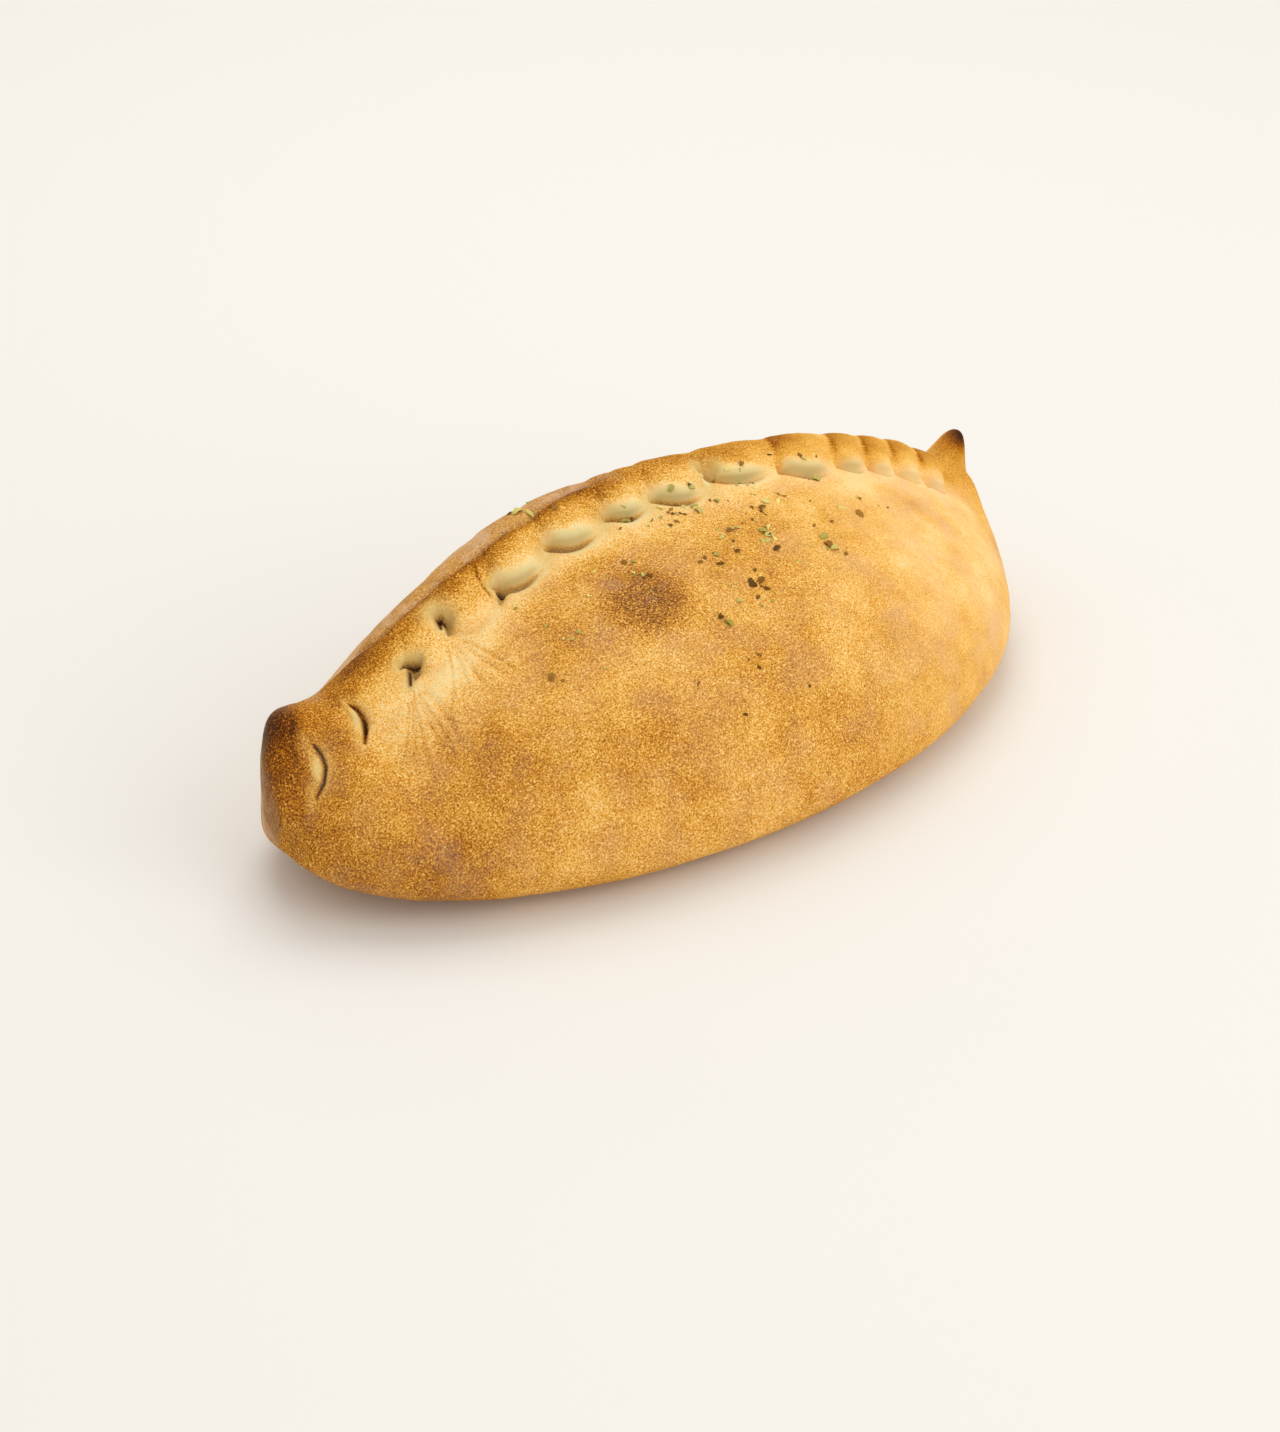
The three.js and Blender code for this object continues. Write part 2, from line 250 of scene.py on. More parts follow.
def stretch(rails, side, under):
    """Points down one stretch of a section, with the distance of each from the stretch's start."""
    power = 2 / SECTION_POWER["under" if under else side]
    first, last = 0, math.pi / 2
    if under:
        widest, base = rails["widest"], rails["base"]
        first, last = math.pi / 2, UNDER_END * math.pi
        if base < 0:
            at_base = (widest / (widest - base)) ** (1 / power)
            last = min(math.pi - math.acos(at_base), last)
    turn = np.linspace(first, last, FINE)
    out = np.abs(np.sin(turn)) ** power
    up = np.abs(np.cos(turn)) ** power
    y = lerp(rails["ridge"], rails[side], out)
    z = np.maximum(lerp(rails["widest"], rails["base" if under else "top"], up), 0)
    steps = np.hypot(np.diff(y), np.diff(z))
    return y, z, np.concatenate([[0], np.cumsum(steps)])


def side_points(rails, side, seam_downs, flank_count, under_count):
    """Rows of y, z and the distance from the crest, down one side of a section."""
    y, z, run = stretch(rails, side, under=False)
    length = run[-1]
    seam_downs = seam_downs * min(1, SEAM_SHARE * length / seam_downs[-1])
    shares = np.sin(FLANK_TURN * np.arange(1, flank_count + 1) / flank_count) / math.sin(FLANK_TURN)
    downs = np.concatenate([seam_downs, lerp(seam_downs[-1], length, shares)])
    flank = np.stack([np.interp(downs, run, y), np.interp(downs, run, z), downs])
    y, z, run = stretch(rails, side, under=True)
    unders = run[-1] * np.arange(1, under_count + 1) / under_count
    under = np.stack([np.interp(unders, run, y), np.interp(unders, run, z), length + unders])
    return np.concatenate([flank, under], axis=1)


for side in ("belly", "back"):
    run = stretch(middle, side, under=False)[2]
    print("from the crest to the widest line of the", side, run[-1].round(1), "mm")

# %% [markdown]
# ## Dough: the crimps
#
# Whoever closed this calzone worked from left to right: fold a little dough over, press it down with a thumb,
# fold the next bit over the end of the last. So each crimp swells at once at its left edge, runs out to the
# right under the next one, and has a thumb hole at its left foot.
#
# The relief of the crimps is a height above the bare skin. It needs two numbers for each point: `x` along the
# dough, and `down`, the distance from the crest of the crimps, which is negative on the back.

# %% The crimps' measures
FIRST_CRIMP = -118
# Each crimp has a width, the share of it that hangs over as a fold, how far down its crease lies at the left
# and at its lowest, and the depth of its thumb hole and how far down that is.
CRIMPS = [
    (16, 0, 9.5, 16.5, 1.2, 10),
    (20, 0.1, 9.5, 16.5, 1.5, 11),
    (14, 0.3, 9.5, 16.5, 4.5, 11),
    (20, 0.5, 9.5, 16.5, 4.5, 8.8),
    (20, 1, 10, 16.4, 3.5, 14),
    (22, 1, 9.2, 16.2, 1.5, 10),
    (17, 1, 8.8, 14.8, 2, 10.5),
    (21, 1, 9, 16.3, 1.5, 10.5),
    (27, 1, 5.8, 12.8, 4, 6),
    (22, 0.95, 10, 17, 2, 11),
    (12, 0.9, 12, 15.5, 1, 12),
    (10.5, 0.8, 12, 15.8, 1, 13),
    (11, 0.75, 13, 17.5, 1, 14),
    (9.5, 0.7, 14, 19.5, 1, 18),
]
WIDTHS, LOBES, CREASE_LEFTS, CREASE_LOWS, THUMB_DEPTHS, THUMB_DOWNS = np.array(CRIMPS).T
CRIMP_LEFTS = FIRST_CRIMP + np.concatenate([[0], np.cumsum(WIDTHS)[:-1]])
ROPE_BACK = 20  # how far behind the crest the crimps have melted into the back
GROOVE_LEAN = 0.5  # how far to the left a groove runs for each millimetre down
CREASE_DEPTH, CREASE_WIDTH = 2.2, 1.5
THUMB_SIZE = 2.2
BRIDGE_CREST, BRIDGE_REACH = 0.9, 17  # between two folds the dough runs straight from crest to belly
LIP = 2  # how far a fold's lower edge hangs over its crease
print(len(CRIMPS), "crimps end at x =", CRIMP_LEFTS[-1] + WIDTHS[-1], "mm")


# %% Where a point lies on a crimp
def crest_offset(x):
    """How far below the top line the crest of the crimps runs. It wanders from the belly to the back."""
    return lerp(6, -2, smoothstep(x, -90, -20)) + 2 * smoothstep(x, 70, 110)


def crimp_at(x, down):
    """The number of each point's crimp, and the point's share of its width. Outside, the share is 2."""
    on_crest = x + GROOVE_LEAN * down
    number = np.clip(np.searchsorted(CRIMP_LEFTS, on_crest, side="right") - 1, 0, len(CRIMP_LEFTS) - 1)
    share = (on_crest - CRIMP_LEFTS[number]) / WIDTHS[number]
    return number, np.where((share >= 0) & (share < 1), share, 2)


def swell(number, share):
    """How full a fold is: it rises within a few millimetres of its left edge and then runs out."""
    rise = np.sqrt(smoothstep(share * WIDTHS[number], -0.4, 3.2))
    return LOBES[number] * rise * (1 - smoothstep(share, 0.55, 1))


def crease_at(number, share):
    """How far down the crease under a fold lies."""
    drop = np.sin(math.pi / 2 * np.clip(share / 0.65, 0, 1))
    return lerp(CREASE_LEFTS[number], CREASE_LOWS[number], drop)


def thumb_mark(number, share, down):
    along = bell(share * WIDTHS[number] - 1, THUMB_SIZE)
    return THUMB_DEPTHS[number] * along * bell(down - THUMB_DOWNS[number], THUMB_SIZE)


# %% The rope of crimps
def rope(x, below_top):
    """How far the crimps lift the skin outward, and how far a fold's edge slides over its crease."""
    down = below_top - crest_offset(x)
    number, share = crimp_at(x, down)
    full = swell(number, share)
    melt = np.cos(math.pi / 2 * np.clip(-down / ROPE_BACK, 0, 1)) ** 2
    behind = lerp(BRIDGE_CREST, 1, full) * melt
    crease = crease_at(number, share)
    reach = np.clip(down / crease, 0, 1)
    bridge = BRIDGE_CREST * (1 - smoothstep(down, -1, BRIDGE_REACH))
    front = lerp(bridge, np.sqrt(1 - reach**3), full)
    cut = CREASE_DEPTH * full * bell(down - crease - 0.4, CREASE_WIDTH)
    lip = LIP * full * smoothstep(reach, 0.25, 0.85) * (1 - smoothstep(reach, 0.88, 1))
    in_front = ROPE_HEIGHT * front - cut - thumb_mark(number, share, down)
    lift = np.where(down < 0, ROPE_HEIGHT * behind, in_front)
    fade = rope_fade(x)
    return fade * lift, fade * np.where(down < 0, 0, lip)


# %% [markdown]
# ## Dough: wrapping the sheet
#
# The start is a plain grid, the rolled-out sheet. Its rows become sections and its columns run round each
# one, from under the base, up the back, over the crest and down the belly. Columns crowd together at the
# crease, where the form is finest. The sheet's two long edges meet under the base, and its short edges close
# to a point at the tips.

# %% Rows and columns
ROWS = 478
CRIMP_COLUMNS, FOOT_COLUMNS = 34, 30
BELLY_COLUMNS, UNDER_COLUMNS = 72, 10
BACK_SEAM_COLUMNS, BACK_COLUMNS, BACK_UNDER_COLUMNS = 16, 26, 8
BASE_COLUMNS = 2
FOOT_REACH = 13  # how far below the crease the columns stay close together
BACK_REACH = 14  # and how far behind the crest

fine_angles = np.linspace(-math.pi / 2, math.pi / 2, 4001)
fine_rails = rails_at(fine_angles)
waist = np.stack([fine_rails["x"], fine_rails["belly"], fine_rails["widest"]])
waist_run = np.concatenate([[0], np.cumsum(np.linalg.norm(np.diff(waist, axis=1), axis=0))])
row_angles = np.interp(np.linspace(0, waist_run[-1], ROWS + 1), waist_run, fine_angles)
row_x = HALF_LENGTH * np.sin(row_angles)
print("the belly's widest line is", waist_run[-1].round(1), "mm long")

# %% The crease's line
# The crease wanders up and down along the seam, and the columns follow it, a little smoothed. Grooves lean,
# so where the crease lies depends on how far down one looks. A few rounds settle it.
crease_downs = np.full(ROWS + 1, 14.0)
for _ in range(4):
    crease_downs = crease_at(*crimp_at(row_x, crease_downs))
smoothing = bell(np.arange(-6, 7), 2.5)
crease_downs = np.convolve(np.pad(crease_downs, 6, mode="edge"), smoothing / smoothing.sum(), mode="valid")
crease_downs += crest_offset(row_x)
print("the crease runs", crease_downs.min().round(1), "to", crease_downs.max().round(1), "mm below the top")


# %% One row
def row_points(row):
    """One section's points, from under the base, round the back, over the crest and down the belly."""
    rails = {name: float(values) for name, values in rails_at(row_angles[row]).items()}
    crease = crease_downs[row]
    upper = crease * (1 - (1 - np.arange(1, CRIMP_COLUMNS + 1) / CRIMP_COLUMNS) ** 1.5)
    lower = crease + FOOT_REACH * (np.arange(1, FOOT_COLUMNS + 1) / FOOT_COLUMNS) ** 1.4
    belly = side_points(rails, "belly", np.concatenate([upper, lower]), BELLY_COLUMNS, UNDER_COLUMNS)
    behind = BACK_REACH * np.arange(1, BACK_SEAM_COLUMNS + 1) / BACK_SEAM_COLUMNS
    back = side_points(rails, "back", behind, BACK_COLUMNS, BACK_UNDER_COLUMNS)
    crest = np.array([[rails["ridge"]], [rails["top"]], [0]])
    floor_z = max(rails["base"], 0)

    def base(start):
        shares = np.arange(1, BASE_COLUMNS + 1) / BASE_COLUMNS
        y = lerp(start[0], rails["ridge"], shares)
        return np.stack([y, lerp(start[1], floor_z, shares), start[2] + np.abs(y - start[0])])

    back = np.concatenate([back, base(back[:, -1])], axis=1)
    back[2] *= -1
    belly = np.concatenate([belly, base(belly[:, -1])], axis=1)
    return np.concatenate([back[:, ::-1], crest, belly], axis=1)


# %% The bare skin
# `bare` holds a place for every point of the sheet, and `below_top` its distance from the top line.
wrapped = np.stack([row_points(row) for row in range(1, ROWS)])
COLUMNS = wrapped.shape[2] - 1
bare = np.empty((ROWS + 1, COLUMNS + 1, 3))
below_top = np.zeros((ROWS + 1, COLUMNS + 1))
bare[..., 0] = row_x[:, None]
bare[1:-1, :, 1] = wrapped[:, 0]
bare[1:-1, :, 2] = wrapped[:, 1]
below_top[1:-1] = wrapped[:, 2]
below_top[0], below_top[-1] = below_top[1], below_top[-2]
bare[0, :, 1:] = LEFT_TIP["y"], LEFT_TIP["z"]
bare[-1, :, 1:] = RIGHT_TIP["y"], RIGHT_TIP["z"]
print(ROWS, "by", COLUMNS, "faces")

# %% [markdown]
# ## Dough: relief
#
# Relief is added along the skin's normals. Besides the crimps there are six kinds: the two twisted ends and
# the crest between them, pulled by a few soft bumps; curved creases where the left end was tucked in, and the
# slits that thumbs left; the line behind the crest where the upper half of the disc was laid over the lower;
# fine folds that fan out below the third and fourth crimps, where the thumb dragged the dough; a blister; and
# the unevenness of dough.
#
# Places on the skin are given by `x` and by `below`, the distance below the top line on the belly's side.

# %% Twisted ends
# In order: the knob, the cheek under it, the saddle beside it, the crown, the horn's root and the blunt horn.
ENDS = [
    {"x": -126.5, "across": 1.2, "along": 10.2, "wide": 11, "blunt": 2, "pull": (-4, 0, 11.8)},
    {"x": -132, "across": 22, "along": 8, "wide": 8, "blunt": 2, "pull": (-1.5, 0, 0)},
    {"x": -95.5, "across": -2, "along": 10.8, "wide": 13, "blunt": 2, "pull": (0, 0, -2.5)},
    {"x": -36.5, "across": -2, "along": 18.6, "wide": 12, "blunt": 2, "pull": (0, 0, 1.4)},
    {"x": 131, "across": 7, "along": 5.3, "wide": 10, "blunt": 2, "pull": (2.1, 0, 2.6)},
    {"x": 129.5, "across": -1, "along": 4.2, "wide": 5, "blunt": 3, "pull": (4.9, 0, 9.3)},
]


def pulled_ends(x, below):
    pull = np.zeros(x.shape + (3,))
    for end in ENDS:
        along = np.abs((x - end["x"]) / end["along"]) ** end["blunt"]
        across = np.abs((below - end["across"]) / end["wide"]) ** end["blunt"]
        pull += np.exp(-along - across)[..., None] * np.array(end["pull"])
    return pull


# %% Creases and slits
# Each is a line of places, with a depth and a width.
TUCKS = [
    ([(-121.6, 12), (-121.6, 14.8), (-122.5, 17.4), (-124.9, 19.1), (-127.8, 19)], 1.8, 0.7),
    ([(-105.3, 10.7), (-104.7, 12.9), (-105.3, 15.6), (-107, 18.4), (-109.6, 21.4)], 2.4, 0.9),
    ([(-121.6, 4.3), (-122.6, 6.4), (-124.8, 7.3)], 0.8, 0.6),
]
SLITS = [
    ([(-88.8, 14), (-86.5, 14.4), (-84.2, 16.2)], 2, 0.8),
    ([(-86.5, 14.4), (-88.2, 17), (-90.2, 19.4)], 2, 0.8),
    ([(-71.8, 9.8), (-73.4, 13.4)], 2, 0.9),
    ([(-71.8, 9.8), (-71.2, 11.4)], 2.4, 1.5),
    ([(-53.4, 12.6), (-51.6, 13.6)], 2, 0.9),
    ([(-53.6, 5), (-55.5, 8.4), (-56.4, 12.9), (-55.6, 16.4)], 0.8, 0.4),
    ([(28.4, 4.4), (31.8, 5)], 2.6, 1.2),
]
print(len(TUCKS), "tucks and", len(SLITS), "slits")


# %% How a crease is cut
def distance_to_line(x, below, points):
    """The distance to a broken line, the side of it, negative on the left, and the share of it passed."""
    best = np.full(x.shape, 1e9)
    side = np.zeros(x.shape)
    share = np.zeros(x.shape)
    for number, ((ax, ad), (bx, bd)) in enumerate(zip(points, points[1:])):
        run = np.array([bx - ax, bd - ad])
        part = np.clip(((x - ax) * run[0] + (below - ad) * run[1]) / (run @ run), 0, 1)
        gap_x, gap_d = x - ax - part * run[0], below - ad - part * run[1]
        gap = np.hypot(gap_x, gap_d)
        closer = gap < best
        best = np.where(closer, gap, best)
        side = np.where(closer, np.sign(gap_x * run[1] - gap_d * run[0]), side)
        share = np.where(closer, (number + part) / (len(points) - 1), share)
    return best, side, share


def tucks(x, below):
    """A tuck is open in its middle and raises a soft lip on its left. A slit is a plain cut."""
    lift = np.zeros(x.shape)
    for line, depth, width in TUCKS:
        gap, side, share = distance_to_line(x, below, line)
        open_share = np.sin(np.clip(share, 0.04, 0.96) * math.pi) ** 0.5
        lift -= depth * open_share * bell(gap, width)
        lift += 0.4 * depth * open_share * bell(gap * side + 2.2, 1.8)
    for line, depth, width in SLITS:
        lift -= depth * bell(distance_to_line(x, below, line)[0], width)
    return lift


# %% The line behind the crest
HEM_DEPTH, HEM_WIDTH = 1, 0.9


def hem_at(x):
    """How far below the top the line behind the crest runs. It drops away behind at both its ends."""
    return 2.7 - 7 * smoothstep(-x, 84, 98) - 5 * smoothstep(x, -45, 0) - 14 * smoothstep(x, 0, 14)


def hem(x, below):
    return -HEM_DEPTH * smoothstep(-x, -10, 2) * bell(below - hem_at(x), HEM_WIDTH)


# %% Folds that fan out, and the blister
FANS = [
    {"hole": (-89, 18), "toward": (-96.5, 38), "folds": 8, "spread": 0.8},
    {"hole": (-72.5, 13.5), "toward": (-76, 34), "folds": 6, "spread": 0.75},
]
FOLD_DEPTH, FOLD_WIDTH = 0.75, 0.5
BLISTER = {"at": (-23, 44), "radius": 12.5, "lift": 0.8}


def fans(x, below):
    """The folds that fan out from a thumb hole, from 0 on smooth dough to 1 at the bottom of a fold."""
    folded = np.zeros(x.shape)
    for fan in FANS:
        draw = random.Random(3)
        (hole_x, hole_d), (far_x, far_d) = fan["hole"], fan["toward"]
        length = math.hypot(far_x - hole_x, far_d - hole_d)
        heading = math.atan2(far_x - hole_x, far_d - hole_d)
        away = np.hypot(x - hole_x, below - hole_d)
        angle = np.arctan2(x - hole_x, below - hole_d) - heading
        within = smoothstep(away, 3, 9) * (1 - smoothstep(away, 0.9 * length, 1.7 * length))
        for fold in range(fan["folds"]):
            ray = (fold / (fan["folds"] - 1) - 0.5) * fan["spread"] + draw.uniform(-0.03, 0.03)
            bend = 0.05 * np.sin(away / draw.uniform(6, 9) + fold)
            folded += draw.uniform(0.5, 1) * within * bell((angle - ray - bend) * away, FOLD_WIDTH)
    return folded


def on_blister(x, below):
    """1 in the middle of the blister, fading to 0 round it."""
    at_x, at_d = BLISTER["at"]
    return bell(np.hypot(x - at_x, below - at_d), BLISTER["radius"])


# %% [markdown]
# The slow unevenness comes from Blender's own noise, read at each point of the bare skin. It is the same on
# every run. Long waves are the filling under the dough, and short ones are gas bubbles just under the skin.

# %% Unevenness
WAVES = [
    {"length": 45, "height": 0.9},
    {"length": 16, "height": 0.4},
    {"length": 6, "height": 0.16},
    {"length": 2.6, "height": 0.08},
]


def unevenness(points):
    lift = np.zeros(len(points))
    for number, wave in enumerate(WAVES):
        shift = Vector((31.7 * number, 11.3, 5.9))
        waves = [noise.noise(Vector(point) / wave["length"] + shift) for point in points]
        lift += wave["height"] * np.array(waves)
    return lift


# %% Which way the skin faces
x, below = bare[..., 0], below_top
across_rows = np.gradient(bare, axis=0)
down_skin = np.gradient(bare, axis=1)
outward = np.cross(across_rows, -down_skin)
outward[0] = (-1, 0, 0)
outward[-1] = (1, 0, 0)
outward /= np.maximum(np.linalg.norm(outward, axis=2, keepdims=True), 1e-9)
if outward[ROWS // 2, COLUMNS // 2, 2] < 0:
    outward[1:-1] *= -1
down_skin /= np.maximum(np.linalg.norm(down_skin, axis=2, keepdims=True), 1e-9)
print("up on the crest:", outward[ROWS // 2, COLUMNS // 2, 2].round(2))

# %% The shaped skin
# The small relief fades out at the tips and toward the base, which has to stay flat.
lift, slide = rope(x, below)
above_base = smoothstep(bare[..., 2], 1, 12)
tips = smoothstep(HALF_LENGTH - np.abs(x), 0, 10)
folded = fans(x, below)
details = tucks(x, below) + hem(x, below) + BLISTER["lift"] * on_blister(x, below) - FOLD_DEPTH * folded
details += unevenness(bare.reshape(-1, 3)).reshape(x.shape)
lift += above_base * tips * details
skin = bare + outward * lift[..., None] + down_skin * slide[..., None] + pulled_ends(x, below)
skin[..., 2] = np.maximum(skin[..., 2], 0)
# The twisted ends pull the sheet's long edges a little apart, so both are laid on the line between them.
skin[:, 0] = skin[:, -1] = (skin[:, 0] + skin[:, -1]) / 2
# Each short edge is gathered to one point, the tip.
skin[0] = skin[0].mean(axis=0)
skin[-1] = skin[-1].mean(axis=0)
print("relief from", lift.min().round(2), "to", lift.max().round(2), "mm")

# %% [markdown]
# ## Dough: how much heat each place had, and where shade is painted
#
# The crust's colour follows its form, so it is worked out here, where the form is known, and kept on the mesh
# as attributes. `bake` goes from 0, raw dough, over 0.5, golden, to 1, charred; in creases, slits and the
# bottoms of folds it also carries painted shade. The raw attribute marks pale dough that the heat never
# reached, and grey-green painted shade under the folds, in the creases, between folds, round slits and behind
# the crest.
# `floury` marks pale, dusted skin with a pink tone. `grainy` says how strongly the fine grain of the crust
# shows.

# %% Where on the crimps each point lies
down = below - crest_offset(x)
crimp_number, crimp_share = crimp_at(x, down)
crimp_full = swell(crimp_number, crimp_share)
crease_here = crease_at(crimp_number, crimp_share)
reach = np.clip(down / crease_here, -3, 3)
on_fold = crimp_full * (1 - smoothstep(reach, 0.97, 1.03))
from_left = crimp_share * WIDTHS[crimp_number]
from_groove = np.minimum(from_left, (1 - crimp_share) * WIDTHS[crimp_number])
# The folds of the left end melt into the belly and show no pale underside with painted shade. Those on the
# right are small.
left_end = smoothstep(-x, 50, 66)
left_half = smoothstep(-x, 0, 20)
right_side = smoothstep(x, 24, 42)
right_end = smoothstep(x, 55, 75)
print("points on a fold:", int((on_fold > 0.5).sum()))

# %% Heat on the crimps
CREST_TOAST, FOLD_GOLD, FOOT_GOLD = 0.7, 0.47, 0.4
UNDERSIDE_PALE, POCKET_PALE = 0.24, 0.05

crest_heat = CREST_TOAST - 0.15 * smoothstep(x, -20, 110)
crest_heat -= 0.08 * smoothstep(-down, 0, 3) * smoothstep(x, -15, 0)
# On the right, each fold is darkest at its left edge, where it lies over the one before.
crest_heat -= 0.16 * smoothstep(x, 20, 60) * (np.clip(crimp_share, 0, 1) - 0.4)
gold_heat = FOLD_GOLD + 0.05 * left_half + 0.14 * smoothstep(-x, 105, 128) + 0.03 * smoothstep(x, 112, 124)
foot_heat = FOOT_GOLD + 0.04 * left_half + 0.21 * smoothstep(-x, 95, 128) + 0.05 * smoothstep(x, 112, 124)
# The toast fades to gold a few millimetres below the crest, further down at each fold's left edge.
toast_starts = 2.5 - 1.8 * left_end - 2 * (np.clip(crimp_share, 0, 1) - 0.3) + 2.5 * smoothstep(x, 80, 100)
crimp_heat = lerp(crest_heat, gold_heat, smoothstep(down, toast_starts, toast_starts + 8))
crimp_heat = lerp(crimp_heat, foot_heat, smoothstep(down, 9, 15))

# The underside of a fold stayed pale. So did the pocket at its left foot and the dough just below the fold.
from_edge = smoothstep(from_left, -0.5, 3.5)
underside = on_fold * smoothstep(reach, lerp(0.62, 0.8, right_end), lerp(0.94, 1, right_end))
underside *= from_edge
pocket = bell(from_left - 0.3, 1.8) * bell(down - 10.8, 2.4) * (1 - right_side)
apron = bell(crimp_share - 0.62, 0.28) * bell(down - crease_here - 1.3, 2.8)
crimp_heat = lerp(crimp_heat, UNDERSIDE_PALE, underside * (1 - left_end))
crimp_heat = lerp(crimp_heat, POCKET_PALE, (pocket + 0.8 * apron) * (1 - left_end))
# On the right, the groove at a fold's left edge is a little browner.
crimp_heat += 0.08 * bell(from_left - 0.4, 0.7) * bell(down - 5, 6) * smoothstep(x, 50, 80)
print("heat on the crimps from", crimp_heat.min().round(2), "to", crimp_heat.max().round(2))

# %% Heat on the belly and the back
BELLY_GOLD, BACK_GOLD = 0.555, 0.54

belly_heat = BELLY_GOLD + 0.05 * smoothstep(-x, 30, 125) - 0.12 * smoothstep(x, 10, 100)
belly_heat += 0.06 * smoothstep(x, 112, 130)
belly_heat -= 0.06 * smoothstep(x, -20, 10) * (1 - smoothstep(down, 22, 40))
foot = smoothstep(down, 15, lerp(30, 24, right_side)) * (1 - on_fold)
front_heat = lerp(belly_heat, lerp(crimp_heat, belly_heat, foot), rope_fade(x))
back_heat = BACK_GOLD + 0.06 * smoothstep(np.abs(x), 95, 125) + 0.1 * bell(below, 20)
# The back begins sharply at the line behind the crest, and softly where that line has run out.
line_runs = smoothstep(-x, -6, 14) * smoothstep(-x, 112, 98)
behind_hem = smoothstep(hem_at(x) - below, lerp(-9, -0.7, line_runs), lerp(9, 0.7, line_runs))
heat = lerp(front_heat, back_heat, behind_hem)
heat += 0.07 * line_runs * bell(below - hem_at(x) - 0.8, 1.4)

# Dough that the thumb dragged is pale round the hole. The bottoms of the folds that fan out from it are
# painted a little darker, as shade.
for fan in FANS:
    (hole_x, hole_d), (far_x, far_d) = fan["hole"], fan["toward"]
    centre_x, centre_d = lerp(hole_x, far_x, 0.3), lerp(hole_d, far_d, 0.3)
    heat -= 0.16 * bell(np.hypot(x - centre_x, below - centre_d), 14) * smoothstep(down, 14, 24)
heat += 0.1 * folded
print("mean heat on the belly:", heat[:, -60:-20].mean().round(2))

# %% Patches that the oven left
# Each has a place, a radius along and one down, and the heat it adds, or lacks where that is below 0.
SPOTS = [
    (-23, 44, 13, 13, 0.2),
    (-96, 1, 5, 4, 0.08),
    (84.5, 29.5, 8, 7, 0.06),
    (-28, 25, 12, 4, 0.04),
    (-95, 70, 24, 22, 0.05),
    (60, 60, 26, 20, -0.02),
    (-22, 60, 30, 9, -0.04),
    (-82, 36, 16, 10, -0.04),
]
for at_x, at_d, radius_x, radius_d, added in SPOTS:
    heat = heat + added * np.exp(-(((x - at_x) / radius_x) ** 2 + ((below - at_d) / radius_d) ** 2) ** 2)

# The ends stick out, so they caught the most heat. Near a tip, distances are taken in space.
HOT_ENDS = [
    {"at": (-131, -10, 51), "radius": 10, "added": 0.22},
    {"at": (-134, -18, 36), "radius": 24, "added": 0.14},
    {"at": (136, 2, 51.5), "radius": 5.3, "added": 0.5},
    {"at": (132, 1, 42), "radius": 14, "added": 0.06},
]
for end in HOT_ENDS:
    heat = heat + end["added"] * bell(np.linalg.norm(skin - np.array(end["at"]), axis=2), end["radius"])
heat = np.clip(heat, 0, 1)
print(len(SPOTS), "patches and", len(HOT_ENDS), "hot places at the ends")

# %% Raw dough, and painted shade in creases and slits
# The first and the last of these are bake values for painted shade: along the creases, and inside tucks and
# slits.
CREASE_SHADE, WALL_PALE, RIM_PALE, CUT_SHADE = 0.8, 0.25, 0.4, 1

# A thin dark olive line is painted along the crease under each fold, where the fold hangs over it: painted
# shade.
crease_shade = crimp_full * bell(down - crease_here - 0.2, 0.65) * (1 - left_end) * (1 - 0.6 * right_side)
heat = lerp(heat, CREASE_SHADE, 0.85 * crease_shade)
# Between two folds the dough was pressed down and is a little grey there: painted shade.
valley = bell(from_groove, 4.5) * bell(down - 14, 5) * (crimp_share <= 1) * (1 - left_end) * (1 - right_side)
# The raw mask holds grey-green painted shade: on the lower underside of each fold, in its crease, below it,
# between folds and behind the crest. It also holds the pale of dough that the heat missed.
raw_and_shade = np.maximum(on_fold * smoothstep(reach, 0.72, 0.96) * from_edge, crease_shade)
raw_and_shade = np.maximum(raw_and_shade, np.maximum(0.5 * apron * rope_fade(x) * (1 - right_side), 0.6 * valley))
raw_and_shade *= (1 - left_end) * lerp(1, 0.4, smoothstep(x, 75, 90)) * (1 - 0.5 * crease_shade)
raw_and_shade = np.maximum(raw_and_shade, 0.15 * behind_hem)
# A tuck's wall is paler, and greyed with painted shade.
for line, depth, _ in TUCKS:
    gap, side, share = distance_to_line(x, below, line)
    opened = np.sin(np.clip(share, 0.1, 0.9) * math.pi)
    pale_wall = opened * np.maximum(bell(gap * side + 1.8, 2), 0.6 * bell(gap, 2.6)) * (depth > 1)
    heat = lerp(heat, WALL_PALE, 0.7 * pale_wall)
    raw_and_shade = np.maximum(raw_and_shade, 0.8 * pale_wall)
# Round a slit the dough is paler, and greyed with painted shade.
for line, depth, width in SLITS:
    around = bell(distance_to_line(x, below, line)[0], 2.5 * width) * (depth > 1)
    heat = lerp(heat, RIM_PALE, 0.7 * around)
    raw_and_shade = np.maximum(raw_and_shade, around)
# Inside each tuck and slit a dark core is painted: painted shade of the cut.
for line, depth, width in TUCKS + SLITS:
    gap, _, share = distance_to_line(x, below, line)
    dark = min(depth / 1.5, 1) * bell(gap, width * lerp(0.5, 0.85, np.sin(share * math.pi)))
    heat = lerp(heat, CUT_SHADE, dark)
    raw_and_shade *= 1 - dark
print("bake from", heat.min().round(2), "to", heat.max().round(2))

# %% Flour and grain
# The toasted crest and ends were rolled by hand, which brushed the flour off. Behind the crest it lies thick.
BRUSHED_ENDS = ((-129, -12, 48), (134, 2, 46))
BRUSHED_RADIUS = 22

